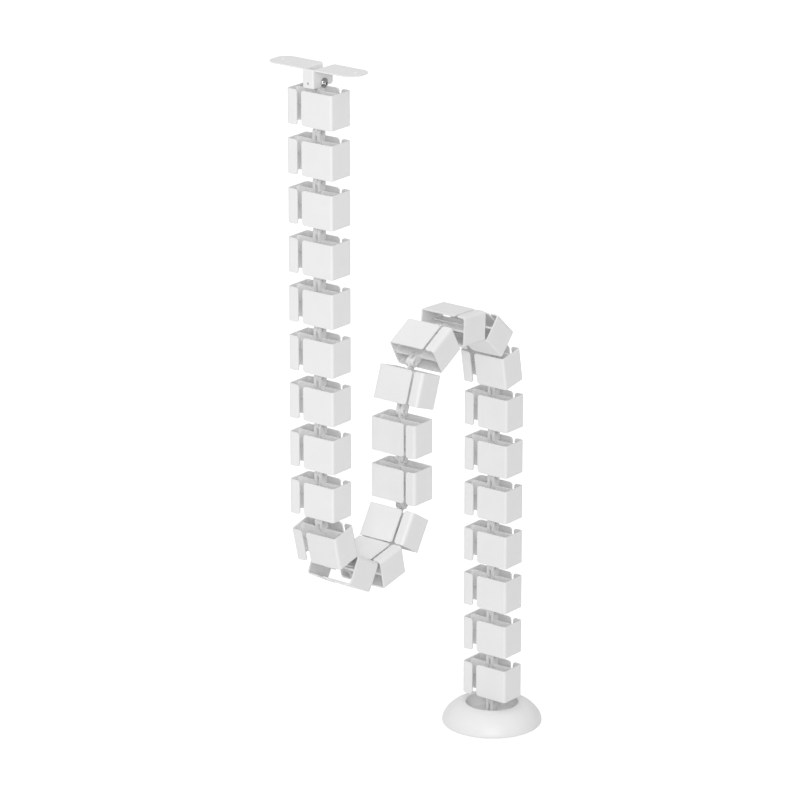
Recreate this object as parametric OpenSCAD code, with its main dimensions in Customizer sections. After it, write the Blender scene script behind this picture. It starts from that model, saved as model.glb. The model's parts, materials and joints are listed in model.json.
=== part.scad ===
// Cable spine: a chain of two-duct vertebrae that carries cables from a desk down to the floor.
// It hangs from a sheet-metal desk bracket, stands in a weighted round base, and is shown looped in an S.
// Frame: X along the hinge pins, Z up, origin on top of the bracket's flanges, above the first pin.

/* [Chain] */
// Distance from one hinge pin to the next
pitch = 48; // [46:0.5:56]
// Bend that stays free between two boxes at the end of a hinge's travel, in degrees
stop_margin = 2; // [1:0.5:4]

/* [Vertebra box] */
// Size of the box along the hinge pins
box_w = 53.8; // [46:0.1:58]
// Size of the box from front to back
box_d = 30; // [26:0.5:34]
// Height of the box
box_h = 34; // [30:0.5:36]
// Thickness of the box's walls
wall = 1.8; // [1.4:0.1:2.2]
// Outside radius of the two corners beside the cable slots
tab_corner_r = 3.6; // [3:0.1:5]
// Outside radius of the other two corners
corner_r = 2.4; // [2:0.1:3]
// Thickness of the web between the two ducts
web_t = 2.2; // [1.8:0.1:3]
// How far the web stays inside the ends of the box
web_inset = 1; // [0.6:0.1:2]
// Height of the rib across the middle of the web
rib_h = 1.6; // [1:0.1:2.4]
// How far that rib stands out of the web
rib_proud = 0.9; // [0.5:0.1:1.5]

/* [Cable slots] */
// Width of the flexible tab beside the front slot
front_tab_w = 12.6; // [10:0.1:15]
// Width of the front slot
front_slot_w = 5.2; // [3.5:0.1:7]
// Width of the flexible tab beside the rear slot
rear_tab_w = 10.9; // [10:0.1:15]
// Width of the rear slot
rear_slot_w = 2.8; // [2:0.1:4]
// Radius of the rounded mouths of the slots
mouth_r = 3; // [1.5:0.1:4]

/* [Hinge] */
// Thickness of each ear of the fork
ear_t = 3; // [2.4:0.1:3.6]
// Thickness of the tongue between the ears
tongue_t = 2; // [1.6:0.1:2.8]
// Depth of the ears and the tongue, which is also the diameter of their round ends
knuckle_d = 9; // [8:0.1:10]
// How far the ears and the tongue run into the box along the web
root_l = 6; // [4:0.5:9]
// Gap on each side between parts that turn against each other
side_gap = 0.3; // [0.2:0.05:0.4]
// Diameter of the hinge studs, and of the screw in the bracket
stud_d = 5; // [4:0.1:5.6]
// Running clearance around a stud, on the radius
stud_gap = 0.08; // [0.03:0.01:0.1]
// How far a stud ends below the ear's outer face
stud_inset = 0.6; // [0.3:0.1:1]
// Diameter of the hole through the studs
stud_hole_d = 2.6; // [1.6:0.1:3]

/* [Desk bracket] */
// Thickness of the sheet metal
sheet_t = 1.2; // [1:0.1:2]
// Inside radius of the bends
bend_r = 0.5; // [0.4:0.1:1.5]
// Gap between the first fork and each leg
leg_gap = 1; // [0.3:0.1:1.5]
// Height of the flanges' top above the first pin
pin_drop = 14.8; // [14:0.1:20]
// How far the legs reach below the first pin
skirt = 3.2; // [2.5:0.1:4]
// Distance from the first pin to the face of the front web
leg_front = 16; // [15:0.5:20]
// Distance from the first pin to the back edge of the legs
leg_back = 13; // [11:0.5:14]
// Radius of the legs' lower back corners
leg_corner_r = 2.5; // [1:0.1:4]
// Length of each flange beyond its bend
flange_l = 45.5; // [40:0.1:60]
// Width of the flanges, front to back
flange_w = 30; // [28:0.5:40]
// Radius of the flanges' outer corners
flange_r = 11.5; // [4:0.5:13]
// Diameter of the holes for the desk screws
desk_hole_d = 4.8; // [4:0.1:6]
// Distance from a flange's tip to its hole
desk_hole_inset = 9.5; // [8:0.1:16]
// Diameter of the small hole in the front web
web_hole_d = 2.4; // [1.6:0.1:4]
// Height of that hole above the first pin
web_hole_rise = 1; // [0:0.1:4]

/* [Pivot screw] */
// Diameter of the pan head
head_d = 9.6; // [8:0.1:12]
// Height of the pan head
head_h = 3.4; // [2.8:0.1:4]
// Radius of the head's round top
head_ball_r = 6; // [5.6:0.1:8]
// Length of the cross recess
recess_l = 5.4; // [4:0.1:6.5]
// Width of the cross recess
recess_w = 1.2; // [0.8:0.1:1.6]
// Depth of the cross recess
recess_h = 1.7; // [1:0.1:2.2]
// Width across the flats of the lock nut
nut_af = 8; // [7.5:0.1:10]
// Height of the lock nut's hexagon
nut_h = 3.4; // [3:0.1:4.5]
// Height of the round collar beyond the hexagon
collar_h = 1.2; // [0.8:0.1:2]

/* [Base] */
// Radius of the well
well_r = 26.4; // [24:0.2:30]
// Width of the dome from the well's wall to its widest ring
dome_w = 24.4; // [23:0.2:32]
// Radius of the dome's shoulder
shoulder_r = 10.5; // [8:0.5:13]
// Radius of the dome's crown
crown_r = 27.5; // [26:0.5:32]
// Radius of the dome's lower edge
edge_r = 1.7; // [1:0.1:3]
// Radius of the rim of the well
rim_r = 1.2; // [0.8:0.1:2.4]
// Height of the last pin above the crown
pin_rise = 0.8; // [0.5:0.1:6]
// Thickness of the cover's walls
shell_t = 2.5; // [2:0.1:3]
// Thickness of the steel weight
weight_t = 4.5; // [3:0.1:5.5]
// Width of the cover's edge around the weight
weight_margin = 5; // [4.5:0.1:7]
// Width of the ledge that the weight sits against
ledge = 3; // [2:0.1:4]
// Diameter of the screws in the weight
base_screw_d = 3; // [2.5:0.1:3.5]
// Thickness of the rubber feet
foot_t = 1; // [0.6:0.1:2]
// Diameter of the rubber feet
foot_d = 12; // [8:0.5:14]

/* [Hidden] */
$fn = 64;
over = 1;
front = -1;
rear = 1;

// Vertebrae in the straight stretches: hanging from the desk, rising, and coming down to the base
hang_count = 9;
rise_count = 2;
down_count = 7;
// Each hinge of a bend departs from an even bend by this share of the spare travel; each list adds up to 0
loop_shares = [-1.8, 0.92, 0.38, 0.88, -0.38];
arch_shares = [-0.6, 0.64, 0.11, 0.53, 0.44, -1.12];

// Two boxes meet at this bend, less the margin
stop = 2 * atan((pitch - box_h) / box_d) - stop_margin;
half_turn = 180;
function sum_to(list, n) = n < 0 ? 0 : list[n] + sum_to(list, n - 1);
function bends(shares) =
    let (even = half_turn / len(shares)) [for (s = shares) even + s * (stop - even)];
loop_bends = bends(loop_shares);
arch_bends = bends(arch_shares);
// Lean of every vertebra from hanging straight down, turned about X
lean = concat(
    [for (i = [1 : hang_count]) 0],
    [for (i = [0 : len(loop_shares) - 2]) sum_to(loop_bends, i)],
    [for (i = [1 : rise_count]) half_turn],
    [for (i = [0 : len(arch_shares) - 2]) half_turn - sum_to(arch_bends, i)],
    [for (i = [1 : down_count]) 0]
);
link_count = len(lean);
// Place of the pin below vertebra n; pin 0 is the screw in the bracket
function pin(n) =
    n == 0 ? [0, 0, -pin_drop] : pin(n - 1) + pitch * [0, sin(lean[n - 1]), -cos(lean[n - 1])];

half_gap = (pitch - box_h) / 2;
knuckle_r = knuckle_d / 2;
slot_w = tongue_t + 2 * side_gap;
fork_w = slot_w + 2 * ear_t;
bore_d = stud_d + 2 * stud_gap;
inner_r_min = 0.4;

leg_in = fork_w / 2 + leg_gap;
leg_out = leg_in + sheet_t;
bend_out = bend_r + sheet_t;
bend_top = pin_drop - bend_out;
relief = 0.5;
tip_x = leg_out + bend_r + flange_l;
desk_hole_x = tip_x - desk_hole_inset;
collar_step = 1;
screw_tip = 1;
screw_l = 2 * leg_out + nut_h + collar_h + screw_tip;

base_r = well_r + dome_w;
blend_a = 26.5;
crown_z = -pin_rise;
crown_c = [base_r - shoulder_r - (crown_r - shoulder_r) * cos(blend_a), crown_z - crown_r];
shoulder_c = crown_c + (crown_r - shoulder_r) * [cos(blend_a), sin(blend_a)];
bottom_z = shoulder_c[1] - edge_r;
weight_top = bottom_z + weight_t;
weight_r = base_r - weight_margin;
seat_gap = 0.2;
floor_z = weight_top + side_gap + shell_t;
post_ring = (well_r + shell_t + weight_r) / 2;
post_count = 3;
post_wall = 2.2;
post_r = base_screw_d / 2 + post_wall;
base_head_h = base_screw_d / 2;
post_turn = 30;
function crown_at(r) = crown_c[1] + sqrt(pow(crown_r, 2) - pow(max(r - crown_c[0], 0), 2));
post_top = crown_at(post_ring + post_r) - shell_t / 2;
base_screw_l = post_top - bottom_z - shell_t;

function two_digits(n) = n < 10 ? str("0", n) : str(n);
function link_name(n) = str("vertebra_", two_digits(n));

// What is left between a square corner and a round one, with the corner at the origin
module corner_waste(r) {
    translate([-r, -r])
        difference() {
            square(r + over);
            circle(r);
        }
}

// A plate with a radius for each corner: right back, left back, left front, right front; 0 stays square
module round_plate(w, d, radii) {
    flips = [[0, 0], [1, 0], [1, 1], [0, 1]];
    difference() {
        square([w, d], center = true);
        for (i = [0 : 3])
            if (radii[i] > 0)
                mirror([flips[i][0], 0])
                    mirror([0, flips[i][1]])
                        translate([w / 2, d / 2]) corner_waste(radii[i]);
    }
}

// Plan of the box, shrunk on every side
module box_plan(inset) {
    tab = max(tab_corner_r - inset, inner_r_min);
    plain = max(corner_r - inset, inner_r_min);
    round_plate(box_w - 2 * inset, box_d - 2 * inset, [tab, plain, tab, plain]);
}

// A slot seen square on, with both mouths rounded; its middle is at the origin
module slot_outline(w) {
    square([w, box_h + 2 * over], center = true);
    for (x = [0, 1], z = [0, 1])
        mirror([x, 0])
            mirror([0, z])
                translate([w / 2, box_h / 2])
                    difference() {
                        translate([-over, -mouth_r]) square([mouth_r + over, mouth_r + over]);
                        translate([mouth_r, -mouth_r]) circle(mouth_r);
                    }
}

// Cuts a slot through the front or the rear wall
module cable_slot(x, w, side) {
    translate([x, side * (box_d - wall) / 2, -pitch / 2])
        rotate([90, 0, 0])
            linear_extrude(wall + over, center = true) slot_outline(w);
}

module box_shell() {
    difference() {
        translate([0, 0, -pitch / 2])
            linear_extrude(box_h, center = true) box_plan(0);
        translate([0, 0, -pitch / 2])
            linear_extrude(box_h + 2 * over, center = true) box_plan(wall);
        cable_slot(-box_w / 2 + front_tab_w + front_slot_w / 2, front_slot_w, front);
        cable_slot(box_w / 2 - rear_tab_w - rear_slot_w / 2, rear_slot_w, rear);
    }
}

// The web that parts the two ducts, with a stiffening rib on each face
module web() {
    translate([0, 0, -pitch / 2]) {
        cube([box_w - wall, web_t, box_h - 2 * web_inset], center = true);
        cube([box_w - wall, web_t + 2 * rib_proud, rib_h], center = true);
    }
}

// Side view of an ear or a tongue: round at the pin, running out along the web
module knuckle_outline(reach) {
    circle(knuckle_r);
    polygon([
        [-knuckle_r, 0], [-knuckle_r, -reach], [-web_t / 2, -reach - root_l],
        [web_t / 2, -reach - root_l], [knuckle_r, -reach], [knuckle_r, 0]
    ]);
}

module knuckle_plate(thick, reach) {
    rotate([90, 0, 90])
        linear_extrude(thick, center = true) knuckle_outline(reach);
}

module pin_cylinder(d, l) {
    rotate([0, 90, 0]) cylinder(d = d, h = l, center = true);
}

// Two ears with their bores
module fork(reach) {
    difference() {
        for (side = [-1, 1])
            translate([side * (slot_w + ear_t) / 2, 0, 0]) knuckle_plate(ear_t, reach);
        pin_cylinder(bore_d, fork_w + 2 * over);
    }
}

// A tongue with a hollow stud on each side
module tongue() {
    difference() {
        union() {
            mirror([0, 0, 1]) knuckle_plate(tongue_t, half_gap);
            pin_cylinder(stud_d, fork_w - 2 * stud_inset);
        }
        pin_cylinder(stud_hole_d, fork_w + 2 * over);
    }
}

// One vertebra, hanging from the origin
module link() {
    union() {
        box_shell();
        web();
        fork(half_gap);
        translate([0, 0, -pitch]) tongue();
    }
}

module vertebra(n) {
    color("white")
        translate(pin(n - 1))
            rotate([lean[n - 1], 0, 0]) link();
}

// Plan of the bracket's front web and legs
module channel_plan() {
    depth = leg_front + leg_back;
    middle = (leg_back - leg_front) / 2;
    difference() {
        translate([0, middle]) round_plate(2 * leg_out, depth, [0, 0, bend_out, bend_out]);
        translate([0, middle + sheet_t])
            round_plate(2 * leg_in, depth, [0, 0, bend_r, bend_r]);
    }
}

// The front web, as high as the flanges, and the legs, which end where they bend outwards
module channel() {
    difference() {
        translate([0, 0, -skirt]) linear_extrude(pin_drop + skirt) channel_plan();
        translate([-leg_out - over, -leg_front + bend_out, bend_top])
            cube([2 * leg_out + 2 * over, leg_front + leg_back, bend_out + over]);
    }
}

// The quarter bend from a leg to its flange, seen from the front, with a short straight run into each
module bend_outline() {
    translate([leg_out + bend_r, bend_top]) {
        intersection() {
            difference() {
                circle(bend_out);
                circle(bend_r);
            }
            translate([-bend_out, 0]) square(bend_out);
        }
        translate([0, bend_r]) square(sheet_t);
        translate([-bend_out, -sheet_t]) square(sheet_t);
    }
}

module desk_flange() {
    bend_front = -leg_front + bend_out + relief;
    translate([0, leg_back, 0])
        rotate([90, 0, 0]) linear_extrude(leg_back - bend_front) bend_outline();
    difference() {
        translate([tip_x - flange_l / 2, 0, pin_drop - sheet_t])
            linear_extrude(sheet_t)
                round_plate(flange_l, flange_w, [flange_r, relief, relief, flange_r]);
        translate([desk_hole_x, 0, pin_drop - sheet_t - over])
            cylinder(d = desk_hole_d, h = sheet_t + 2 * over);
    }
}

module desk_bracket() {
    color("whitesmoke")
        translate(pin(0)) {
            difference() {
                channel();
                pin_cylinder(bore_d, 2 * leg_out + 2 * over);
                translate([0, -leg_front + sheet_t / 2, web_hole_rise])
                    rotate([90, 0, 0]) cylinder(d = web_hole_d, h = sheet_t + over, center = true);
                translate([0, leg_back, -skirt])
                    rotate([90, 0, 90])
                        linear_extrude(2 * leg_out + 2 * over, center = true)
                            mirror([0, 1]) corner_waste(leg_corner_r);
            }
            for (side = [0, 1]) mirror([side, 0, 0]) desk_flange();
        }
}

// Cross-recessed pan-head screw through the bracket's legs
module pivot_screw() {
    color("silver")
        translate(pin(0))
            rotate([0, 90, 0]) {
                translate([0, 0, leg_out - screw_l]) cylinder(d = stud_d, h = screw_l);
                difference() {
                    intersection() {
                        translate([0, 0, leg_out]) cylinder(d = head_d, h = head_h);
                        translate([0, 0, leg_out + head_h - head_ball_r]) sphere(head_ball_r);
                    }
                    for (turn = [0, 90])
                        rotate([0, 0, turn])
                            translate([0, 0, leg_out + head_h])
                                cube([recess_l, recess_w, 2 * recess_h], center = true);
                }
            }
}

// Lock nut with its round collar
module pivot_nut() {
    color("silver")
        translate(pin(0))
            rotate([0, -90, 0])
                translate([0, 0, leg_out])
                    difference() {
                        union() {
                            cylinder(d = nut_af / cos(30), h = nut_h, $fn = 6);
                            cylinder(d = nut_af - collar_step, h = nut_h + collar_h);
                        }
                        translate([0, 0, -over])
                            cylinder(d = bore_d, h = nut_h + collar_h + 2 * over);
                    }
}

// Half section of the dome, shrunk from its outer face
module dome_half(inset) {
    intersection() {
        union() {
            translate(shoulder_c) circle(shoulder_r - inset);
            intersection() {
                translate(crown_c) circle(crown_r - inset);
                translate(crown_c) rotate(blend_a) square(2 * crown_r);
            }
            translate([0, shoulder_c[1]]) square([crown_c[0], crown_z - inset - shoulder_c[1]]);
        }
        translate([0, shoulder_c[1]]) square([base_r, crown_r]);
    }
}

// Lower edge of the dome, down to its flat underside
module edge_half() {
    translate([base_r - edge_r, shoulder_c[1]])
        intersection() {
            circle(edge_r);
            translate([0, -edge_r]) square(edge_r);
        }
    translate([0, bottom_z]) square([base_r - edge_r, edge_r]);
}

// Half section of the cover: dome, well and the space for the weight
module cover_half() {
    difference() {
        union() {
            dome_half(0);
            edge_half();
        }
        translate([0, floor_z]) square([well_r, crown_r]);
        translate([well_r, crown_at(well_r + rim_r)])
            difference() {
                translate([-over, -rim_r]) square([rim_r + over, rim_r + over]);
                translate([rim_r, -rim_r]) circle(rim_r);
            }
        difference() {
            union() {
                intersection() {
                    dome_half(shell_t);
                    translate([0, weight_top - over]) square([weight_r - ledge, crown_r]);
                }
                translate([0, weight_top - over])
                    square([weight_r - ledge, max(shoulder_c[1] - weight_top, 0) + 2 * over]);
            }
            translate([0, floor_z - shell_t]) square([well_r + shell_t, crown_r]);
        }
        translate([0, bottom_z - over]) square([weight_r + seat_gap, weight_t + over]);
    }
}

module at_posts() {
    for (i = [0 : post_count - 1])
        rotate(post_turn + i * 360 / post_count) translate([post_ring, 0, 0]) children();
}

module base_cover() {
    color("white")
        translate(pin(link_count)) {
            difference() {
                union() {
                    rotate_extrude($fn = 128) cover_half();
                    at_posts()
                        translate([0, 0, weight_top]) cylinder(r = post_r, h = post_top - weight_top);
                }
                at_posts()
                    translate([0, 0, bottom_z]) cylinder(d = base_screw_d + seat_gap, h = base_screw_l);
            }
            base_fork();
        }
}

// The fork that stands in the well and takes the last tongue
module base_fork() {
    difference() {
        for (side = [-1, 1])
            translate([side * (slot_w + ear_t) / 2, 0, 0])
                rotate([90, 0, 90])
                    linear_extrude(ear_t, center = true) {
                        circle(knuckle_r);
                        translate([-knuckle_r, floor_z - shell_t / 2])
                            square([knuckle_d, -floor_z + shell_t / 2]);
                    }
        pin_cylinder(bore_d, fork_w + 2 * over);
    }
}

// Steel disc in the underside of the cover
module base_weight() {
    color("dimgray")
        translate(pin(link_count))
            difference() {
                translate([0, 0, bottom_z]) cylinder(r = weight_r, h = weight_t);
                at_posts() {
                    translate([0, 0, bottom_z - over])
                        cylinder(d = base_screw_d + 2 * seat_gap, h = weight_t + 2 * over);
                    translate([0, 0, bottom_z])
                        cylinder(
                            d1 = 2 * base_screw_d + 2 * seat_gap,
                            d2 = base_screw_d + 2 * seat_gap,
                            h = base_head_h
                        );
                }
            }
}

// Countersunk screws that hold the weight
module base_screws() {
    color("silver")
        translate(pin(link_count))
            at_posts()
                translate([0, 0, bottom_z]) {
                    cylinder(d1 = 2 * base_screw_d, d2 = base_screw_d, h = base_head_h);
                    cylinder(d = base_screw_d, h = base_screw_l - over);
                }
}

// Rubber feet under the weight, between the screws
module base_feet() {
    color("gray")
        translate(pin(link_count))
            rotate(180 / post_count)
                at_posts()
                    translate([0, 0, bottom_z - foot_t]) cylinder(d = foot_d, h = foot_t);
}

desk_bracket();
pivot_screw();
pivot_nut();
for (n = [1 : link_count])
    vertebra(n);
base_cover();
base_weight();
base_screws();
base_feet();
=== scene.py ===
# %% [markdown]
# # A cable spine in white plastic
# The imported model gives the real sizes, the hinge pins and the bodies that move. This lesson dresses
# it: every moulded piece gets soft edges and a moulded surface, the bracket becomes folded and
# painted sheet metal, and the screws get their recesses. Nothing is moved or resized.

# %% Load the frame
import json
import math

import bmesh
import bpy
from mathutils import Matrix, Vector


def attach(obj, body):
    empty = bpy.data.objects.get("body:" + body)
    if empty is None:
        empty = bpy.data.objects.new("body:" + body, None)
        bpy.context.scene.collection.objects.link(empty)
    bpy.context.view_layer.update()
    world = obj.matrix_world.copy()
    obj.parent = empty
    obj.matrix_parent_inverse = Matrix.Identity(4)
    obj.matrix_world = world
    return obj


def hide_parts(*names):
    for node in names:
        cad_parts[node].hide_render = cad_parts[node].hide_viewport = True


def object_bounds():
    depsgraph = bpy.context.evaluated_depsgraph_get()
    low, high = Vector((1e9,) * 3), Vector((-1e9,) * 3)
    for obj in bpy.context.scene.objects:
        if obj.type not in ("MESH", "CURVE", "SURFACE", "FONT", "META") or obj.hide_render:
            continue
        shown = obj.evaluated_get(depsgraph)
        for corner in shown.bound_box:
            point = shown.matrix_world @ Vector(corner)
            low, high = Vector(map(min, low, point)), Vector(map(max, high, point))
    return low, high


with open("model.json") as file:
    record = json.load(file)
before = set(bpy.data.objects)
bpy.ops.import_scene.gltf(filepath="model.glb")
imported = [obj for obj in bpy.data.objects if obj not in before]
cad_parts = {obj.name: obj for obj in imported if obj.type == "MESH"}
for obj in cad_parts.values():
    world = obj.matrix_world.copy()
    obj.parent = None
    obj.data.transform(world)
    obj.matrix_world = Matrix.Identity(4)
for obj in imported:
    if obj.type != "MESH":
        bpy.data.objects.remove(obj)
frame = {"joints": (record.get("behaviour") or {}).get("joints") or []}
cad_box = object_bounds()
MM = 0.001
print("CAD box in mm:", [[round(c / MM, 1) for c in corner] for corner in cad_box])

# %% [markdown]
# ## Where the pins are
# Each hinge in the frame says where its pin is. Two pins next to each other give a vertebra its place
# and its lean, so one mesh, modelled hanging from the origin, can be set into the chain over and over.

# %% Pins, leans and the place of each vertebra
PINS = [Vector(joint["pos_m"]) for joint in frame["joints"]]
LINKS = len(PINS) - 1
PITCH = (PINS[1] - PINS[0]).length


def place_of(link):
    """The matrix that hangs a vertebra, modelled below the origin, from its pin."""
    along = PINS[link] - PINS[link - 1]
    lean = math.atan2(along.y, -along.z)
    return Matrix.Translation(PINS[link - 1]) @ Matrix.Rotation(lean, 4, "X")


print(LINKS, "vertebrae, pitch", round(PITCH / MM, 2), "mm")

# %% [markdown]
# ## The camera
# The photograph was taken with a long lens from the front right, a little above the middle. The hinge
# pins were located in it, and the camera that puts them there stands about four metres off.

# %% Camera
VIEW_AZIMUTH = math.radians(37.84)
VIEW_ELEVATION = math.radians(18.29)
VIEW_DISTANCE = 4.3476
VIEW_SHIFT_RIGHT = 0.0754
VIEW_SHIFT_UP = -0.2950
SENSOR = 36.0
FOCAL_PIXELS = 4694.5
IMAGE_PIXELS = 800

back = Vector((
    math.sin(VIEW_AZIMUTH) * math.cos(VIEW_ELEVATION),
    -math.cos(VIEW_AZIMUTH) * math.cos(VIEW_ELEVATION),
    math.sin(VIEW_ELEVATION),
))
right = Vector((math.cos(VIEW_AZIMUTH), math.sin(VIEW_AZIMUTH), 0))
up = back.cross(right)
lens = bpy.data.cameras.new("camera")
lens.sensor_width = SENSOR
lens.lens = FOCAL_PIXELS / IMAGE_PIXELS * SENSOR
lens.clip_end = 50
camera = bpy.data.objects.new("camera", lens)
camera.matrix_world = Matrix((right, up, back)).transposed().to_4x4()
camera.location = PINS[0] + back * VIEW_DISTANCE + right * VIEW_SHIFT_RIGHT + up * VIEW_SHIFT_UP
bpy.context.scene.collection.objects.link(camera)
bpy.context.scene.camera = camera
print("lens", round(lens.lens, 1), "mm, camera at", [round(c, 3) for c in camera.location])

# %% [markdown]
# ## Floor and light
# The object was shot on white, in soft light from beside the camera that reaches into the slots and
# the ducts, with a smooth fill from above, from the left and from the bright floor. So two large
# softboxes stand behind the camera, and between them a small one whose light gets through the narrow
# slots. The surroundings are a smooth dome of light, and the floor is a white sheet lit from behind.
# The sheet is only there to be seen: the fill from below comes from the surroundings, which reach
# under it evenly.

# %% Floor
FLOOR_SIZE = 30
FLOOR_GLOW = 0.4
floor_z = cad_box[0][2]


def linear(hex_colour):
    """An sRGB hex colour as linear RGBA."""
    channels = [int(hex_colour[i:i + 2], 16) / 255 for i in (1, 3, 5)]
    return [c / 12.92 if c <= 0.04045 else ((c + 0.055) / 1.055) ** 2.4 for c in channels] + [1.0]


def put_mesh(name, bm):
    """Makes an object at the origin from a finished bmesh, and frees the bmesh."""
    mesh = bpy.data.meshes.new(name)
    bm.to_mesh(mesh)
    bm.free()
    obj = bpy.data.objects.new(name, mesh)
    bpy.context.scene.collection.objects.link(obj)
    return obj


# White paper lit from behind: an even white with no shadow in it.
paper = bpy.data.materials.new("floor, white paper")
paper.use_nodes = True
paper_shader = paper.node_tree.nodes["Principled BSDF"]
paper_shader.inputs["Base Color"].default_value = linear("#FAFAFA")
paper_shader.inputs["Roughness"].default_value = 0.9
paper_shader.inputs["Emission Color"].default_value = linear("#FFFFFF")
paper_shader.inputs["Emission Strength"].default_value = FLOOR_GLOW

sheet = bmesh.new()
bmesh.ops.create_grid(sheet, x_segments=1, y_segments=1, size=FLOOR_SIZE / 2)
bmesh.ops.translate(sheet, vec=(0, 0, floor_z), verts=sheet.verts)
floor = put_mesh("floor", sheet)
floor.data.materials.append(paper)
floor.visible_diffuse = False
print("floor at", round(floor_z / MM, 1), "mm")

# %% Surroundings: three glows, each fading smoothly towards its opposite side
FROM_LEFT, FROM_ABOVE, FROM_BELOW = (-1, 0, 0), (0, 0, 1), (0, 0, -1)
GLOWS = ((FROM_LEFT, 0.33), (FROM_ABOVE, 0.86), (FROM_BELOW, 0.92))


def add_node(tree, kind, inputs=None, **settings):
    """Adds a node, sets its properties, and fills its inputs with values or links."""
    node = tree.nodes.new(kind)
    for name, value in settings.items():
        setattr(node, name, value)
    for name, value in (inputs or {}).items():
        if isinstance(value, bpy.types.NodeSocket):
            tree.links.new(value, node.inputs[name])
        else:
            node.inputs[name].default_value = value
    return node


world = bpy.data.worlds.new("white surroundings")
bpy.context.scene.world = world
world.use_nodes = True
tree = world.node_tree
towards = add_node(tree, "ShaderNodeTexCoord").outputs["Generated"]
total = 0.0
for direction, strength in GLOWS:
    facing = add_node(
        tree, "ShaderNodeVectorMath", {0: towards, 1: direction}, operation="DOT_PRODUCT",
    ).outputs["Value"]
    share = add_node(tree, "ShaderNodeMapRange", {"Value": facing, "From Min": -1.0}).outputs["Result"]
    squared = add_node(tree, "ShaderNodeMath", {0: share, 1: 2.0}, operation="POWER").outputs["Value"]
    total = add_node(
        tree, "ShaderNodeMath", {0: squared, 1: strength, 2: total}, operation="MULTIPLY_ADD",
    ).outputs["Value"]
sky = tree.nodes["Background"]
sky.inputs["Color"].default_value = linear("#FFFFFF")
tree.links.new(total, sky.inputs["Strength"])
bpy.context.scene.view_settings.view_transform = "Standard"
print(len(GLOWS), "glows in the surroundings")

# %% Lamps
CHAIN_MIDDLE = Vector((0, 0.155, -0.37))
LARGE, SMALL = 2.4, 0.9


def add_softbox(name, place, size, power):
    """A square lamp at a place, turned to face the middle of the chain."""
    lamp = bpy.data.lights.new(name, "AREA")
    lamp.size = size
    lamp.energy = power
    obj = bpy.data.objects.new(name, lamp)
    aim = CHAIN_MIDDLE - Vector(place)
    obj.matrix_world = aim.to_track_quat("-Z", "Y").to_matrix().to_4x4()
    obj.location = place
    bpy.context.scene.collection.objects.link(obj)
    print(name, round(aim.length, 2), "m away,", power, "W")


add_softbox("upper softbox", (2.65, -3.24, 2.54), LARGE, 50)
add_softbox("lower softbox", (3.11, -3.82, 0.89), LARGE, 45)
add_softbox("camera softbox", (3.26, -4.04, 1.39), SMALL, 48)

# %% [markdown]
# ## The walls of a vertebra
# A vertebra is one moulding: a box cut open by a slot in front and a slot behind, so that cables can
# be pressed in from the side. The slots leave two C-shaped walls. Cutting slots out of a box would
# leave ragged corners, so each wall is made the way a strip is folded: its plan is drawn as a line,
# the corners of the line are rounded, the line is raised to a wall, the free corners get the round
# mouths, and only then comes thickness.

# %% Sizes of a vertebra
BOX_W, BOX_D, BOX_H = 53.8 * MM, 30 * MM, 34 * MM
WALL = 1.8 * MM
TAB_CORNER_R, CORNER_R = 3.6 * MM, 2.4 * MM
FRONT_TAB, FRONT_SLOT = 12.6 * MM, 5.2 * MM
REAR_TAB, REAR_SLOT = 10.9 * MM, 2.8 * MM
MOUTH_R = 3 * MM
MOULDED_EDGE = 0.4 * MM
HALF_GAP = (PITCH - BOX_H) / 2
BOX_LOW = -PITCH + HALF_GAP
TINY = 1e-6
print("gap between two boxes", round(2 * HALF_GAP / MM, 1), "mm")

# %% The plan of each wall, drawn as a line with round corners
half_w, half_d = BOX_W / 2, BOX_D / 2
WALL_PLANS = {
    "right": [
        (-half_w + FRONT_TAB + FRONT_SLOT, -half_d), (half_w, -half_d),
        (half_w, half_d), (half_w - REAR_TAB, half_d),
    ],
    "left": [
        (half_w - REAR_TAB - REAR_SLOT, half_d), (-half_w, half_d),
        (-half_w, -half_d), (-half_w + FRONT_TAB, -half_d),
    ],
}


def line_through(plan, z):
    """A new bmesh with a line through points in plan, at one height, and those points."""
    bm = bmesh.new()
    points = [bm.verts.new((x, y, z)) for x, y in plan]
    for a, b in zip(points, points[1:]):
        bm.edges.new((a, b))
    return bm, points


def round_points(bm, points, radius, segments):
    """Rounds corners of a line or a sheet."""
    bmesh.ops.bevel(
        bm, geom=points, offset=radius, offset_type="OFFSET", affect="VERTICES",
        segments=segments, profile=0.5, material=-1,
    )


walls = {}
for side_name, plan in WALL_PLANS.items():
    wall, points = line_through(plan, BOX_LOW)
    for corner, radius in zip(points[1:-1], (CORNER_R, TAB_CORNER_R)):
        round_points(wall, [corner], radius, 8)
    walls[side_name] = wall
    strip = sum(e.calc_length() for e in wall.edges)
    print(side_name, "wall:", round(strip / MM, 1), "mm of strip")


# %% The lines raised to sheets with round mouths
def verts_of(geometry):
    """The points in the result of an operator."""
    return [g for g in geometry if isinstance(g, bmesh.types.BMVert)]


def draw_out(bm, edges, vec):
    """Pulls edges out into faces."""
    moved = verts_of(bmesh.ops.extrude_edge_only(bm, edges=edges)["geom"])
    bmesh.ops.translate(bm, vec=vec, verts=moved)


for side_name, wall in walls.items():
    draw_out(wall, wall.edges[:], (0, 0, BOX_H))
    round_points(wall, [v for v in wall.verts if len(v.link_faces) == 1], MOUTH_R, 6)
    bmesh.ops.recalc_face_normals(wall, faces=wall.faces)
    outward = sum(f.normal.dot(f.calc_center_median()) * f.calc_area() for f in wall.faces)
    if outward < 0:
        bmesh.ops.reverse_faces(wall, faces=wall.faces)
    print(side_name, "sheet:", len(wall.faces), "faces")


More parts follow.
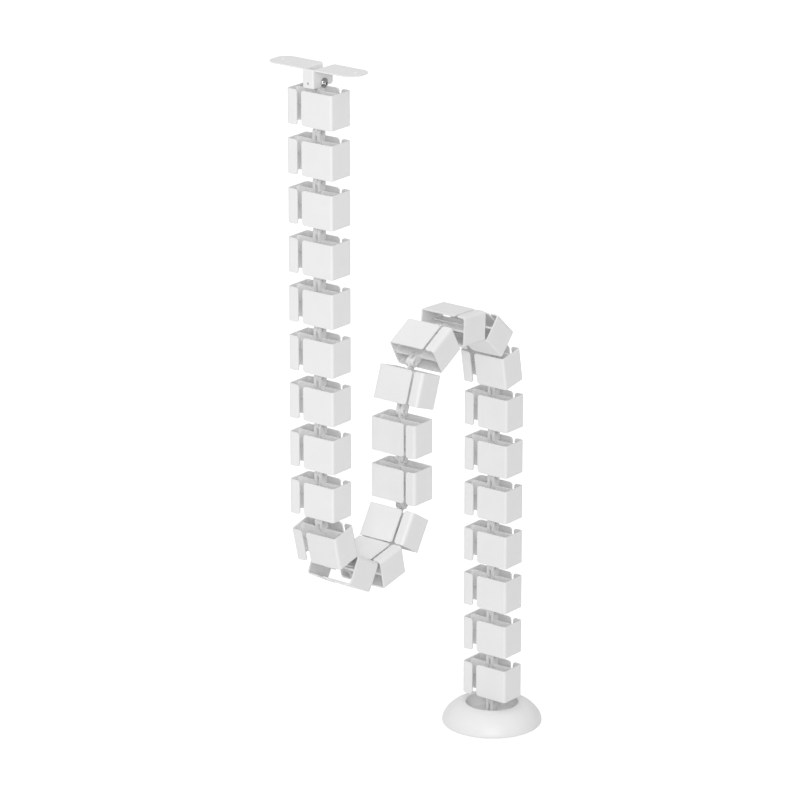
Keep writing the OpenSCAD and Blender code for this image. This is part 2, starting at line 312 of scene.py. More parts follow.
# %% Thickness and soft edges
def soften(bm, size, sharper_than=40):
    """Rounds every edge that is sharper than an angle in degrees."""
    sharp = [
        e for e in bm.edges
        if len(e.link_faces) == 2 and e.calc_face_angle() > math.radians(sharper_than)
    ]
    bmesh.ops.bevel(
        bm, geom=sharp, offset=size, offset_type="OFFSET", affect="EDGES",
        segments=3, profile=0.5, material=-1, clamp_overlap=True,
    )


for side_name, wall in walls.items():
    bmesh.ops.solidify(wall, geom=wall.faces[:], thickness=WALL)
    soften(wall, MOULDED_EDGE)
    spans = [max(v.co[i] for v in wall.verts) - min(v.co[i] for v in wall.verts) for i in range(3)]
    print(side_name, "wall:", len(wall.faces), "faces,", [round(s / MM, 2) for s in spans], "mm")

# %% [markdown]
# ## Web, ears and tongue
# A web across the middle parts the two ducts and carries the hinge: two ears towards the desk, and
# towards the floor a tongue with hollow studs that snap into the next pair of ears. An ear starts as
# two rings joined to a washer; the lower half of the washer's rim is pulled down to the box and then
# drawn in along the web. The stud is turned on a lathe, because a turned section closes on itself.

# %% Sizes of the hinge
WEB_T, WEB_INSET = 2.2 * MM, 1 * MM
RIB_H, RIB_PROUD = 1.6 * MM, 0.9 * MM
FILLET, FILLET_ROUND = 1.2 * MM, 0.9
WELD = 0.1 * MM
EAR_T, TONGUE_T = 3 * MM, 2 * MM
KNUCKLE_R = 4.5 * MM
ROOT_L = 6 * MM
SIDE_GAP = 0.3 * MM
STUD_R, STUD_GAP, STUD_INSET = 2.5 * MM, 0.08 * MM, 0.6 * MM
STUD_HOLE_R, STUD_EDGE = 1.3 * MM, 0.3 * MM
SLOT_W = TONGUE_T + 2 * SIDE_GAP
FORK_W = SLOT_W + 2 * EAR_T
ROUND = 32
print("fork", round(FORK_W / MM, 1), "mm across, pin", round(2 * STUD_R / MM, 1), "mm thick")


# %% The web, flared where it runs into the side walls
def block(width, depth, height):
    """A block about the origin."""
    bm = bmesh.new()
    bmesh.ops.create_cube(bm, size=1)
    bmesh.ops.scale(bm, vec=(width, depth, height), verts=bm.verts)
    return bm


def edges_of(geometry):
    """The edges in the result of an operator."""
    return [g for g in geometry if isinstance(g, bmesh.types.BMEdge)]


def slice_at(bm, point, normal, clear_outer=False):
    """Cuts a shape along a plane, and gives back the edges of the cut."""
    cut = bmesh.ops.bisect_plane(
        bm, geom=bm.verts[:] + bm.edges[:] + bm.faces[:], dist=TINY,
        plane_co=point, plane_no=normal, clear_outer=clear_outer,
    )
    return edges_of(cut["geom_cut"])


span = BOX_W - 2 * WALL
web = block(span, WEB_T, BOX_H - 2 * WEB_INSET)
for side in (-1, 1):
    slice_at(web, (side * (span / 2 - FILLET), 0, 0), (1, 0, 0))
ends = [v for v in web.verts if abs(v.co.x) > span / 2 - TINY]
bmesh.ops.scale(web, vec=(1, 1 + 2 * FILLET / WEB_T, 1), verts=ends)
for side in (1, -1):
    bmesh.ops.translate(web, vec=(side * WELD, 0, 0), verts=[v for v in ends if v.co.x * side > 0])
hollow = [e for e in web.edges if not e.is_convex and e.calc_face_angle() > math.radians(20)]
bmesh.ops.bevel(
    web, geom=hollow, offset=FILLET * FILLET_ROUND, offset_type="OFFSET", affect="EDGES",
    segments=4, profile=0.5, material=-1,
)
soften(web, MOULDED_EDGE, sharper_than=60)
print("web:", len(web.faces), "faces")


# %% The rib across the web
def add_to(bm, part, matrix=Matrix.Identity(4)):
    """Moves a finished part into a larger bmesh."""
    mesh = bpy.data.meshes.new("part")
    part.to_mesh(mesh)
    part.free()
    mesh.transform(matrix)
    bm.from_mesh(mesh)
    bpy.data.meshes.remove(mesh)


rib = block(span + 2 * WELD, WEB_T + 2 * RIB_PROUD, RIB_H)
soften(rib, MOULDED_EDGE)
add_to(web, rib)
bmesh.ops.translate(web, vec=(0, 0, -PITCH / 2), verts=web.verts)
print("web with its rib:", len(web.faces), "faces")

# %% A knuckle plate, the flat blank of an ear or of the tongue, and the two ears
ALONG_X = Matrix.Rotation(math.pi / 2, 4, "Y")
ON_THE_WEB = [(-HALF_GAP, 2 * KNUCKLE_R), (-HALF_GAP - ROOT_L, WEB_T)]


def ring(bm, radius):
    """A circle of edges about the hinge pin, which lies along X."""
    made = bmesh.ops.create_circle(
        bm, cap_ends=False, segments=ROUND, radius=radius, matrix=ALONG_X,
    )
    return list({e for v in made["verts"] for e in v.link_edges})


def knuckle_plate(radii, steps, thick):
    """Rings about the pin; the lower half of the rim is pulled down to each (level, width) in turn."""
    bm = bmesh.new()
    rings = [ring(bm, r) for r in radii]
    for inner, outer in zip(rings, rings[1:]):
        bmesh.ops.bridge_loops(bm, edges=inner + outer)
    rim = [e for e in rings[-1] if max(v.co.z for v in e.verts) < TINY]
    for level, width in steps:
        pulled = bmesh.ops.extrude_edge_only(bm, edges=rim)["geom"]
        verts = verts_of(pulled)
        rim = [e for e in edges_of(pulled) if all(v in verts for v in e.verts)]
        spread = max(v.co.y for v in verts)
        bmesh.ops.scale(bm, vec=(1, width / 2 / spread, 0), verts=verts)
        bmesh.ops.translate(bm, vec=(0, 0, level), verts=verts)
    bmesh.ops.recalc_face_normals(bm, faces=bm.faces)
    bmesh.ops.solidify(bm, geom=bm.faces[:], thickness=thick)
    middle_x = (max(v.co.x for v in bm.verts) + min(v.co.x for v in bm.verts)) / 2
    bmesh.ops.translate(bm, vec=(-middle_x, 0, 0), verts=bm.verts)
    bmesh.ops.recalc_face_normals(bm, faces=bm.faces)
    return bm


def fork(steps):
    """Two ears, a tongue's width and its gaps apart."""
    bm = bmesh.new()
    for side in (-1, 1):
        ear = knuckle_plate((STUD_R + STUD_GAP, KNUCKLE_R), steps, EAR_T)
        soften(ear, MOULDED_EDGE)
        add_to(bm, ear, Matrix.Translation((side * (SLOT_W + EAR_T) / 2, 0, 0)))
    return bm


ears = fork(ON_THE_WEB)
print("ears:", len(ears.faces), "faces")


# %% A lathe, and the tongue on its turned stud
def lathe(start, moves, steps=ROUND):
    """Draws half a section in XZ, by lines (r, z) and arcs (r, z, degrees, steps), and turns it."""
    bm = bmesh.new()
    pen = bm.verts.new((start[0], 0, start[1]))
    for r, z, *sweep in moves:
        if sweep:
            swept = bmesh.ops.spin(
                bm, geom=[pen], cent=(r, 0, z), axis=(0, 1, 0),
                angle=math.radians(sweep[0]), steps=sweep[1],
            )
            pen = verts_of(swept["geom_last"])[0]
        else:
            pen = bmesh.ops.extrude_vert_indiv(bm, verts=[pen])["verts"][0]
            pen.co = (r, 0, z)
    bmesh.ops.spin(
        bm, geom=bm.verts[:] + bm.edges[:], cent=(0, 0, 0), axis=(0, 0, 1),
        angle=2 * math.pi, steps=steps, use_merge=True,
    )
    bmesh.ops.remove_doubles(bm, verts=bm.verts, dist=TINY)
    bmesh.ops.recalc_face_normals(bm, faces=bm.faces)
    return bm


tongue = knuckle_plate(((STUD_R + STUD_HOLE_R) / 2, KNUCKLE_R), ON_THE_WEB, TONGUE_T)
soften(tongue, MOULDED_EDGE)
end = FORK_W / 2 - STUD_INSET
stud = lathe(
    (STUD_HOLE_R, -end), [(STUD_R, -end), (STUD_R, end), (STUD_HOLE_R, end), (STUD_HOLE_R, -end)],
)
soften(stud, STUD_EDGE)
add_to(tongue, stud, ALONG_X)
bmesh.ops.rotate(tongue, matrix=Matrix.Rotation(math.pi, 3, "X"), verts=tongue.verts)
bmesh.ops.translate(tongue, vec=(0, 0, -PITCH), verts=tongue.verts)
print("tongue:", len(tongue.faces), "faces")

# %% The whole vertebra
vertebra = bmesh.new()
for part in (walls["right"], walls["left"], web, ears, tongue):
    add_to(vertebra, part)
open_edges = sum(1 for e in vertebra.edges if len(e.link_faces) != 2)
print("vertebra:", len(vertebra.faces), "faces,", open_edges, "open edges")

# %% [markdown]
# ## Finishes
# Nearly everything is white, so what tells the materials apart is how they break up the light. Each
# finish reads Object coordinates, which are the frame's own metres, so a pattern keeps its real size
# on every piece.


# %% Moulded plastic
def start_material(name):
    """A new material with its node tree, its shader and the metres it is measured in."""
    material = bpy.data.materials.new(name)
    material.use_nodes = True
    tree = material.node_tree
    metres = add_node(tree, "ShaderNodeTexCoord").outputs["Object"]
    return material, tree, tree.nodes["Principled BSDF"], metres


# ABS out of a spark-eroded mould: a satin white whose fine grain spreads each highlight, and which is
# a touch duller where the melt ran slower. The grain is really 0.1 mm and is drawn at 0.6 mm.
moulded_abs, tree, shader, metres = start_material("ABS, moulded with a spark-eroded grain")
flow = add_node(
    tree, "ShaderNodeTexNoise", {"Vector": metres, "Scale": 1 / (22 * MM), "Detail": 3.0},
).outputs["Fac"]
white = add_node(
    tree, "ShaderNodeMix", {"Factor": flow, "A": linear("#E6E6E6"), "B": linear("#ECECEC")},
    data_type="RGBA",
)
dulling = add_node(tree, "ShaderNodeMapRange", {"Value": flow, "To Min": 0.36, "To Max": 0.5})
grain = add_node(
    tree, "ShaderNodeTexNoise", {"Vector": metres, "Scale": 1 / (0.6 * MM), "Detail": 2.0},
).outputs["Fac"]
relief = add_node(
    tree, "ShaderNodeBump", {"Height": grain, "Strength": 0.12, "Distance": 0.02 * MM},
)
tree.links.new(white.outputs["Result"], shader.inputs["Base Color"])
tree.links.new(dulling.outputs["Result"], shader.inputs["Roughness"])
tree.links.new(relief.outputs["Normal"], shader.inputs["Normal"])
shader.inputs["IOR"].default_value = 1.53
print(moulded_abs.name)

# %% Painted steel
# Powder coat baked on steel: the melted grains leave a slightly wavy skin, like the peel of an
# orange, that bends reflections without dulling them. One wave is about 1.5 mm.
powder_coat, tree, shader, metres = start_material("steel, powder-coated white")
peel = add_node(
    tree, "ShaderNodeTexNoise", {"Vector": metres, "Scale": 1 / (1.5 * MM), "Detail": 1.0},
).outputs["Fac"]
cloud = add_node(
    tree, "ShaderNodeTexNoise", {"Vector": metres, "Scale": 1 / (15 * MM), "Detail": 2.0},
).outputs["Fac"]
white = add_node(
    tree, "ShaderNodeMix", {"Factor": cloud, "A": linear("#E6E6E6"), "B": linear("#ECECEC")},
    data_type="RGBA",
)
dulling = add_node(tree, "ShaderNodeMapRange", {"Value": peel, "To Min": 0.28, "To Max": 0.36})
relief = add_node(
    tree, "ShaderNodeBump", {"Height": peel, "Strength": 0.2, "Distance": 0.03 * MM},
)
tree.links.new(white.outputs["Result"], shader.inputs["Base Color"])
tree.links.new(dulling.outputs["Result"], shader.inputs["Roughness"])
tree.links.new(relief.outputs["Normal"], shader.inputs["Normal"])
shader.inputs["IOR"].default_value = 1.5
print(powder_coat.name)

# %% Nickel-plated steel
# Nickel plate over a turned screw: bright, with fine rings about the pin from the turning. The rings
# are really 0.05 mm apart and are drawn at 1 mm: a wave texture draws about 3.2 of them to its unit.
RINGS_PER_UNIT = 3.2
nickel, tree, shader, metres = start_material("steel, turned and nickel-plated")
centred = add_node(tree, "ShaderNodeMapping", {"Vector": metres, "Location": -PINS[0]}).outputs["Vector"]
turned = add_node(
    tree, "ShaderNodeTexWave",
    {"Vector": centred, "Scale": 1 / (RINGS_PER_UNIT * MM), "Distortion": 0.6},
    wave_type="RINGS", rings_direction="X",
).outputs["Fac"]
haze = add_node(
    tree, "ShaderNodeTexNoise", {"Vector": metres, "Scale": 1 / (2 * MM), "Detail": 2.0},
).outputs["Fac"]
dulling = add_node(tree, "ShaderNodeMapRange", {"Value": haze, "To Min": 0.04, "To Max": 0.1})
relief = add_node(
    tree, "ShaderNodeBump", {"Height": turned, "Strength": 0.08, "Distance": 0.02 * MM},
)
tree.links.new(dulling.outputs["Result"], shader.inputs["Roughness"])
tree.links.new(relief.outputs["Normal"], shader.inputs["Normal"])
shader.inputs["Base Color"].default_value = linear("#B8B8B8")
shader.inputs["Metallic"].default_value = 1.0
print(nickel.name)

# %% Zinc-plated steel
# Zinc plate over a blanked disc: a grey shine with the lines of the rolling mill. The lines are
# really 0.1 mm apart and are drawn at 0.8 mm.
zinc, tree, shader, metres = start_material("steel, rolled and zinc-plated")
rolled = add_node(
    tree, "ShaderNodeMapping", {"Vector": metres, "Scale": (0.04, 1.0, 1.0)},
).outputs["Vector"]
mill = add_node(
    tree, "ShaderNodeTexNoise", {"Vector": rolled, "Scale": 1 / (0.8 * MM), "Detail": 2.0},
).outputs["Fac"]
dulling = add_node(tree, "ShaderNodeMapRange", {"Value": mill, "To Min": 0.25, "To Max": 0.45})
grey = add_node(
    tree, "ShaderNodeMix", {"Factor": mill, "A": linear("#A9ACAE"), "B": linear("#C4C7C8")},
    data_type="RGBA",
)
tree.links.new(grey.outputs["Result"], shader.inputs["Base Color"])
tree.links.new(dulling.outputs["Result"], shader.inputs["Roughness"])
shader.inputs["Metallic"].default_value = 1.0
print(zinc.name)

# %% Rubber
# Moulded nitrile rubber: dark, dull, with a pitted skin that shows almost no highlight. The pits are
# really 0.2 mm and are drawn at 0.5 mm.
rubber, tree, shader, metres = start_material("nitrile rubber, moulded")
pits = add_node(
    tree, "ShaderNodeTexVoronoi", {"Vector": metres, "Scale": 1 / (0.5 * MM)},
).outputs["Distance"]
dust = add_node(
    tree, "ShaderNodeTexNoise", {"Vector": metres, "Scale": 1 / (5 * MM), "Detail": 3.0},
).outputs["Fac"]
black = add_node(
    tree, "ShaderNodeMix", {"Factor": dust, "A": linear("#2B2B2C"), "B": linear("#454546")},
    data_type="RGBA",
)
relief = add_node(
    tree, "ShaderNodeBump", {"Height": pits, "Strength": 0.3, "Distance": 0.05 * MM},
)
tree.links.new(black.outputs["Result"], shader.inputs["Base Color"])
tree.links.new(relief.outputs["Normal"], shader.inputs["Normal"])
shader.inputs["Roughness"].default_value = 0.85
print(rubber.name)

# %% [markdown]
# ## The chain
# All the vertebrae are alike, so one finished mesh is copied, moved to its pin and turned to its
# lean. The place goes into the mesh, and the object stays at the origin.


# %% Every vertebra in its place
def finish_piece(piece, material, slot, body, *nodes):
    """Shades a piece smoothly, with flat faces kept flat, ties it to its body, and hides the CAD nodes
    it stands in for.
    """
    piece.data.materials.clear()
    piece.data.materials.append(material)
    for polygon in piece.data.polygons:
        polygon.use_smooth = True
    piece.modifiers.new("flat faces stay flat", "WEIGHTED_NORMAL")
    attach(piece, body)
    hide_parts(*nodes)


pattern = put_mesh("vertebra_pattern", vertebra)
for link in range(1, LINKS + 1):
    mesh = pattern.data.copy()
    mesh.transform(place_of(link))
    piece = bpy.data.objects.new(f"vertebra_shell_{link:02d}", mesh)
    bpy.context.scene.collection.objects.link(piece)
    finish_piece(piece, moulded_abs, "moulded_white", f"link_{link:02d}", f"vertebra_{link:02d}")
triangles = sum(len(p.vertices) - 2 for p in pattern.data.polygons)
bpy.data.objects.remove(pattern)
print(LINKS, "vertebrae of", triangles, "triangles")

# %% [markdown]
# ## The base
# The foot of the chain is a domed cover with a round well, in which a fork takes the last tongue. A
# dome of two radii could be sculpted from a sphere, but a lathe gives the exact section: a pen
# follows the well, the rim, the crown, the shoulder and the edge, and the section is turned about
# the base's axis. Underneath, a steel disc gives the weight, held by three countersunk screws, and
# three rubber feet spare the floor.

# %% Sizes of the base, measured from its pin
WELL_R, BASE_R = 26.4 * MM, 50.8 * MM
CROWN_Z, CROWN_R = -0.8 * MM, 27.5 * MM
CROWN_SWEEP = 63.5
SHOULDER_R, EDGE_R, RIM_R = 10.5 * MM, 1.7 * MM, 1.2 * MM
WELL_FILLET = 1 * MM
SHELL_T = 2.5 * MM
WEIGHT_T, WEIGHT_R = 4.5 * MM, 45.8 * MM
SEAT_GAP = 0.2 * MM
LEDGE_R = WEIGHT_R - 3 * MM

# The crown's arc hands over to the shoulder's where both lean by the sweep.
handover = Matrix.Rotation(math.radians(CROWN_SWEEP), 2) @ Vector((0, SHOULDER_R - CROWN_R))
shoulder_r = BASE_R - SHOULDER_R
crown_r = shoulder_r - handover.x
crown_z = CROWN_Z - CROWN_R
shoulder_z = crown_z - handover.y
bottom_z = shoulder_z - EDGE_R
weight_top = bottom_z + WEIGHT_T
well_floor = weight_top + SIDE_GAP + SHELL_T
dome_h = CROWN_Z - bottom_z
print("dome", round(2 * BASE_R / MM, 1), "mm across,", round(dome_h / MM, 1), "mm high")


# %% The section of the cover, turned
def angle_of(r, z):
    """Degrees from straight up, seen from the crown's centre."""
    return math.degrees(math.atan2(r - crown_r, z - crown_z))


def height_of(r, arc):
    """Height of an arc about the crown's centre, at a radius from the base's axis."""
    return crown_z + math.sqrt(arc ** 2 - (r - crown_r) ** 2)


wall_out = WELL_R + SHELL_T
rim_top = height_of(WELL_R + RIM_R, CROWN_R)
ledge_z = height_of(LEDGE_R, CROWN_R - SHELL_T)
wall_z = height_of(wall_out, CROWN_R - SHELL_T)
cover = lathe(
    (0, well_floor),
    [
        (WELL_R - WELL_FILLET, well_floor),
        (WELL_R - WELL_FILLET, well_floor + WELL_FILLET, -90, 4),
        (WELL_R, rim_top - RIM_R),
        (WELL_R + RIM_R, rim_top - RIM_R, 90, 6),
        (crown_r, crown_z, CROWN_SWEEP - angle_of(WELL_R + RIM_R, rim_top), 14),
        (shoulder_r, shoulder_z, 90 - CROWN_SWEEP, 8),
        (BASE_R - EDGE_R, shoulder_z, 90, 6),
        (WEIGHT_R + SEAT_GAP, bottom_z),
        (WEIGHT_R + SEAT_GAP, weight_top),
        (LEDGE_R, weight_top),
        (LEDGE_R, ledge_z),
        (crown_r, crown_z, angle_of(wall_out, wall_z) - angle_of(LEDGE_R, ledge_z), 6),
        (wall_out, well_floor - SHELL_T),
        (0, well_floor - SHELL_T),
    ],
    steps=128,
)
print("turned cover:", len(cover.faces), "faces")

# %% Its soft edges and its fork
SHELL_EDGE = 0.3 * MM
base_place = Matrix.Translation(PINS[-1])


def finish_shape(name, bm, place, material, slot, body, node):
    """Sets a finished shape in its place, and makes a piece of it."""
    bm.transform(place)
    piece = put_mesh(name, bm)
    finish_piece(piece, material, slot, body, node)
    print(name, len(piece.data.polygons), "faces")


soften(cover, SHELL_EDGE, sharper_than=50)
add_to(cover, fork([(well_floor - SHELL_T / 2, 2 * KNUCKLE_R)]))
finish_shape("base_cover_shell", cover, base_place, moulded_abs, "moulded_white", "base", "base_cover")

# %% The weight with its countersinks
POSTS = 3
POST_RING = (WELL_R + SHELL_T + WEIGHT_R) / 2
SCREW_TURN = 30
BASE_SCREW_R = 1.5 * MM
WEIGHT_EDGE = 0.25 * MM
PAST = 1 * MM


def round_the_base(part, turn):
    """Three copies of a part about the base's axis, the first at a turn in degrees."""
    bm = bmesh.new()
    for i in range(POSTS):
        place = Matrix.Rotation(math.radians(turn) + 2 * math.pi * i / POSTS, 4, "Z")
        add_to(bm, part.copy(), place @ Matrix.Translation((POST_RING, 0, 0)))
    part.free()
    return bm


def cut_away(bm, cutter):
    """Takes one closed shape out of another, and gives back what is left."""
    body = put_mesh("body", bm)
    tool = put_mesh("tool", cutter)
    cut = body.modifiers.new("cut", "BOOLEAN")
    cut.object = tool
    cut.operation = "DIFFERENCE"
    cut.solver = "EXACT"
    left = bmesh.new()
    left.from_object(body, bpy.context.evaluated_depsgraph_get())
    for used in (body, tool):
        bpy.data.objects.remove(used)
    return left


disc = lathe(
    (0, bottom_z), [(WEIGHT_R, bottom_z), (WEIGHT_R, weight_top), (0, weight_top)], steps=96,
)
hole_r = BASE_SCREW_R + SEAT_GAP
sink = lathe(
    (0, bottom_z - PAST),
    [
        (hole_r + BASE_SCREW_R + PAST, bottom_z - PAST), (hole_r, bottom_z + BASE_SCREW_R),
        (hole_r, weight_top + PAST), (0, weight_top + PAST),
    ],
)
disc = cut_away(disc, round_the_base(sink, SCREW_TURN))
soften(disc, WEIGHT_EDGE)
finish_shape("base_weight_disc", disc, base_place, zinc, "weight_steel", "base", "base_weight")

# %% [markdown]
# ## Screws, nut and feet
# A cross recess is the shape of the driver, so it is cut with one: two crossed bars that narrow
# towards the tip. The thread is a three-sided wire wound round the shank by a spin that climbs, and
# the nut is a turned blank with six flats sawn off, which leaves the curved chamfers of a real one.

# %% The driver's cross and the three countersunk screws
TIP_SPAN, TIP_BLADE = 0.5, 0.8
BASE_CROSS = (3.2 * MM, 0.8 * MM, 1.2 * MM)
BASE_SCREW_L = 11.7 * MM
BASE_SCREW_EDGE = 0.08 * MM


def cut_cross(bm, span, blade, depth, matrix):
    """Presses a cross-shaped driver, which points down Z and narrows to its tip, into a screw."""
    for turn in (0, math.pi / 2):
        bar = block(span, blade, 2 * depth)
        tip = [v for v in bar.verts if v.co.z < 0]
        bmesh.ops.scale(bar, vec=(TIP_SPAN, TIP_BLADE, 1), verts=tip)
        bar.transform(matrix @ Matrix.Rotation(turn, 4, "Z"))
        bm = cut_away(bm, bar)
    return bm


screw = lathe(
    (0, 0),
    [
        (2 * BASE_SCREW_R, 0), (BASE_SCREW_R, BASE_SCREW_R),
        (BASE_SCREW_R, BASE_SCREW_L), (0, BASE_SCREW_L),
    ],
)
screw = cut_cross(screw, *BASE_CROSS, Matrix.Rotation(math.pi, 4, "X"))
soften(screw, BASE_SCREW_EDGE)
bmesh.ops.translate(screw, vec=(0, 0, bottom_z), verts=screw.verts)
screws = round_the_base(screw, SCREW_TURN)
finish_shape("base_screw_set", screws, base_place, nickel, "bright_steel", "base", "base_screws")

# %% Rubber feet, slightly cushioned at the edge
FOOT_R, FOOT_T = 6 * MM, 1 * MM
FOOT_TURN = 90
cushion = FOOT_T / 2
foot = lathe(
    (0, bottom_z - FOOT_T),
    [
        (FOOT_R - cushion, bottom_z - FOOT_T), (FOOT_R - cushion, bottom_z - cushion, -90, 4),
        (FOOT_R, bottom_z), (0, bottom_z),
    ],
    steps=48,
)
feet = round_the_base(foot, FOOT_TURN)
finish_shape("base_foot_set", feet, base_place, rubber, "foot_rubber", "base", "base_feet")

# %% The pivot screw's head
SHEET_T, LEG_GAP = 1.2 * MM, 1 * MM
LEG_OUT = FORK_W / 2 + LEG_GAP + SHEET_T
HEAD_R, HEAD_H, HEAD_BALL_R = 4.8 * MM, 3.4 * MM, 6 * MM
HEAD_CROSS = (5.4 * MM, 1.2 * MM, 1.7 * MM)
HEAD_TURN = math.radians(20)
HEAD_EDGE = 0.15 * MM
ball_z = LEG_OUT + HEAD_H - HEAD_BALL_R
cap = math.degrees(math.asin(HEAD_R / HEAD_BALL_R))
pivot = lathe(
    (0, LEG_OUT + HEAD_H), [(0, ball_z, cap, 10), (HEAD_R, LEG_OUT), (0, LEG_OUT)], steps=64,
)
seat = Matrix.Translation((0, 0, LEG_OUT + HEAD_H)) @ Matrix.Rotation(HEAD_TURN, 4, "Z")
pivot = cut_cross(pivot, *HEAD_CROSS, seat)
soften(pivot, HEAD_EDGE)
print("head:", len(pivot.faces), "faces")

# %% Its shank and thread
NUT_AF, NUT_H, COLLAR_H = 8 * MM, 3.4 * MM, 1.2 * MM
SCREW_TIP = 1 * MM
THREAD_PITCH, THREAD_DEPTH = 0.8 * MM, 0.5 * MM
THREAD_STEPS = 24
thread_root = STUD_R - THREAD_DEPTH
thread_from = -LEG_OUT
screw_end = LEG_OUT - (2 * LEG_OUT + NUT_H + COLLAR_H + SCREW_TIP)
shank = lathe(
    (0, LEG_OUT),
    [
        (STUD_R, LEG_OUT), (STUD_R, thread_from), (thread_root, thread_from),
        (thread_root, screw_end), (0, screw_end),
    ],
)
add_to(pivot, shank)
wire = bmesh.new()
section = [
    (thread_root - WELD, 0), (STUD_R, THREAD_PITCH / 2), (thread_root - WELD, THREAD_PITCH),
]
start_face = wire.faces.new([wire.verts.new((r, 0, screw_end + z)) for r, z in section])
turns = int((thread_from - screw_end) / THREAD_PITCH - 1)
bmesh.ops.spin(
    wire, geom=[start_face], cent=(0, 0, 0), axis=(0, 0, 1), dvec=(0, 0, THREAD_PITCH / THREAD_STEPS),
    angle=2 * math.pi * turns, steps=turns * THREAD_STEPS, use_merge=False,
)
bmesh.ops.recalc_face_normals(wire, faces=wire.faces)
add_to(pivot, wire)
first_pin = Matrix.Translation(PINS[0])
finish_shape(
    "pivot_screw_turned", pivot, first_pin @ ALONG_X, nickel, "bright_steel", "bracket", "pivot_screw",
)
print(turns, "turns of thread")

# %% The lock nut
COLLAR_R = NUT_AF / 2 - 0.5 * MM
CHAMFER_R = NUT_AF / 2 - 0.1 * MM
CHAMFER_ANGLE = math.radians(30)
NUT_BORE_R = STUD_R + STUD_GAP
NUT_EDGE = 0.12 * MM
FLATS = 6
corner_r = NUT_AF / 2 / math.cos(math.pi / FLATS)
chamfer_h = (corner_r - CHAMFER_R) * math.tan(CHAMFER_ANGLE)
collar_round = COLLAR_H / 2
nut = lathe(
    (NUT_BORE_R, 0),
    [
        (CHAMFER_R, 0), (corner_r, chamfer_h), (corner_r, NUT_H - chamfer_h), (CHAMFER_R, NUT_H),
        (COLLAR_R, NUT_H), (COLLAR_R, NUT_H + collar_round),
        (COLLAR_R - collar_round, NUT_H + collar_round, -90, 6),
        (NUT_BORE_R, NUT_H + COLLAR_H), (NUT_BORE_R, 0),
    ],
    steps=96,
)
for flat in range(FLATS):
    turn = 2 * math.pi / FLATS * flat
    facing = Vector((math.cos(turn), math.sin(turn), 0))
    sawn = slice_at(nut, facing * NUT_AF / 2, facing, clear_outer=True)
    bmesh.ops.holes_fill(nut, edges=sawn, sides=0)
soften(nut, NUT_EDGE, sharper_than=28)
on_the_leg = Matrix.Translation(PINS[0] - Vector((LEG_OUT, 0, 0)))
nut_place = on_the_leg @ Matrix.Rotation(-math.pi / 2, 4, "Y")
finish_shape("pivot_nut_hex", nut, nut_place, nickel, "bright_steel", "bracket", "pivot_nut")

# %% [markdown]
# ## The desk bracket
# The bracket is bent from one blank of sheet steel: a U round the first fork, with a flange folded
# out of the top of each leg. It is made as it is bent: the U is drawn in plan and raised, its front
# web grows up to the desk, the tops of the legs are spun outwards through the bend, the flanges are
# drawn out, and the finished skin gets the thickness of the sheet.

# %% The U with its front web
BEND_R = 0.5 * MM
PIN_DROP, SKIRT = 14.8 * MM, 3.2 * MM
LEG_FRONT, LEG_BACK = 16 * MM, 13 * MM
RELIEF = 0.5 * MM
BEND_OUT = BEND_R + SHEET_T
BEND_TOP = PIN_DROP - BEND_OUT
BEND_STEPS = 6
u_plan = [
    (-LEG_OUT, LEG_BACK), (-LEG_OUT, -LEG_FRONT), (LEG_OUT, -LEG_FRONT), (LEG_OUT, LEG_BACK),
]
bracket, points = line_through(u_plan, -SKIRT)
round_points(bracket, points[1:-1], BEND_OUT, BEND_STEPS)
draw_out(bracket, bracket.edges[:], (0, 0, BEND_TOP + SKIRT))
corner_back = -LEG_FRONT + BEND_OUT
web_top = [
    e for e in bracket.edges
    if all(v.co.z > BEND_TOP - TINY and v.co.y < corner_back + TINY for v in e.verts)
]
draw_out(bracket, web_top, (0, 0, BEND_OUT))
bend_front = corner_back + RELIEF
slice_at(bracket, (0, bend_front, 0), (0, 1, 0))
print("U:", len(bracket.faces), "faces")

# %% The top of a leg, bent outwards and drawn out to a flange
FLANGE_L = 45.5 * MM
tip_x = LEG_OUT + BEND_R + FLANGE_L


def fold_out(side):
    """Bends the top of one leg outwards and draws the flange out of it."""
    top = [
        e for e in bracket.edges
        if all(v.co.z > BEND_TOP - TINY and v.co.y > bend_front - TINY for v in e.verts)
        and all(v.co.x * side > 0 for v in e.verts)
    ]
    bent = bmesh.ops.spin(
        bracket, geom=top + list({v for e in top for v in e.verts}), axis=(0, side, 0),
        angle=math.pi / 2, cent=(side * (LEG_OUT + BEND_R), 0, BEND_TOP), steps=BEND_STEPS,
    )
    draw_out(bracket, edges_of(bent["geom_last"]), (side * FLANGE_L, 0, 0))


print("bracket", round(2 * tip_x / MM, 1), "mm across")

# %% A flange, widened past its bend and made one face
FLANGE_W = 30 * MM
flange_low = PIN_DROP - SHEET_T


def widen(side):
    """Widens a flange to both sides of its bend, and makes one face of it."""
    long_edges = [
        e for e in bracket.edges
        if e.is_boundary and abs(e.verts[0].co.y - e.verts[1].co.y) < TINY
        and all(v.co.z > flange_low - TINY and v.co.x * side > 0 for v in e.verts)
    ]
    for edge in long_edges:
        from_y = edge.verts[0].co.y
        draw_out(bracket, [edge], (0, math.copysign(FLANGE_W / 2, from_y) - from_y, 0))
    flange = [
        f for f in bracket.faces
        if min(v.co.z for v in f.verts) > flange_low - TINY and f.calc_center_median().x * side > 0
    ]
    seams = [
        e for e in bracket.edges
        if len(e.link_faces) == 2 and all(f in flange for f in e.link_faces)
    ]
    bmesh.ops.dissolve_edges(bracket, edges=seams, use_verts=True)


print("flange", round(FLANGE_L / MM, 1), "x", round(FLANGE_W / MM, 1), "mm")

# %% Both flanges, with round corners
FLANGE_R, LEG_CORNER_R = 11.5 * MM, 2.5 * MM


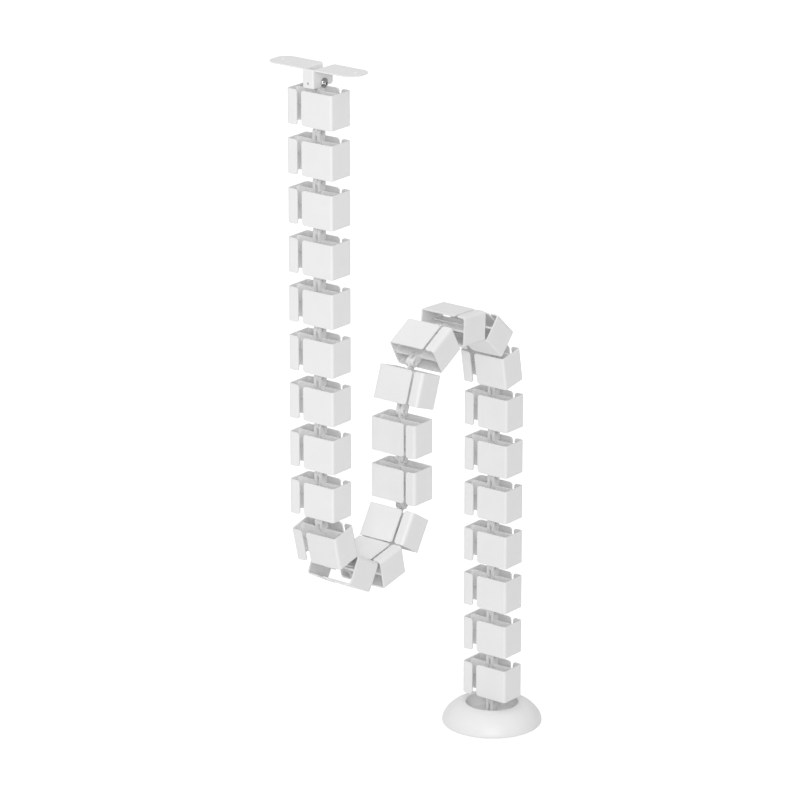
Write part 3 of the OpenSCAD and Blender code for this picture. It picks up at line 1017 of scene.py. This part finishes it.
def round_flange(side):
    """Rounds the outer corners of a flange, and slightly those at its bend."""
    corners = [
        v for v in bracket.verts if abs(abs(v.co.y) - FLANGE_W / 2) < TINY and v.co.x * side > 0
    ]
    round_points(bracket, [v for v in corners if abs(v.co.x) > tip_x - TINY], FLANGE_R, 12)
    at_bend = [v for v in corners if v.is_valid and abs(v.co.x) < tip_x - FLANGE_L + TINY]
    round_points(bracket, at_bend, RELIEF, 3)


for side in (-1, 1):
    fold_out(side)
    widen(side)
    round_flange(side)
leg_corners = [v for v in bracket.verts if v.co.y > LEG_BACK - TINY and v.co.z < -SKIRT + TINY]
round_points(bracket, leg_corners, LEG_CORNER_R, 6)
print("bent skin:", len(bracket.faces), "faces")

# %% Thickness of the sheet
bmesh.ops.recalc_face_normals(bracket, faces=bracket.faces)
web_face = min(bracket.faces, key=lambda f: f.calc_center_median().y)
if web_face.normal.y > 0:
    bmesh.ops.reverse_faces(bracket, faces=bracket.faces)
bmesh.ops.solidify(bracket, geom=bracket.faces[:], thickness=SHEET_T)
print("bracket:", round(bracket.calc_volume() / MM ** 3), "mm3 of sheet")

# %% Holes for the desk screws, the pivot and the web, and soft painted edges
DESK_HOLE_R, DESK_HOLE_INSET = 2.4 * MM, 9.5 * MM
WEB_HOLE_R, WEB_HOLE_RISE = 1.2 * MM, 1 * MM
PUNCH_L = 6 * MM
PAINTED_EDGE = 0.3 * MM
web_hole = Matrix.Translation((0, -LEG_FRONT, WEB_HOLE_RISE)) @ Matrix.Rotation(math.pi / 2, 4, "X")
holes = bmesh.new()
for radius, length, matrix in (
    (DESK_HOLE_R, PUNCH_L, Matrix.Translation((tip_x - DESK_HOLE_INSET, 0, PIN_DROP))),
    (DESK_HOLE_R, PUNCH_L, Matrix.Translation((DESK_HOLE_INSET - tip_x, 0, PIN_DROP))),
    (STUD_R + STUD_GAP, 4 * LEG_OUT, ALONG_X),
    (WEB_HOLE_R, PUNCH_L, web_hole),
):
    punch = lathe((0, -length / 2), [(radius, -length / 2), (radius, length / 2), (0, length / 2)])
    add_to(holes, punch, matrix)
bracket = cut_away(bracket, holes)
soften(bracket, PAINTED_EDGE)
finish_shape(
    "desk_bracket_folded", bracket, first_pin, powder_coat, "white_enamel", "bracket", "desk_bracket",
)
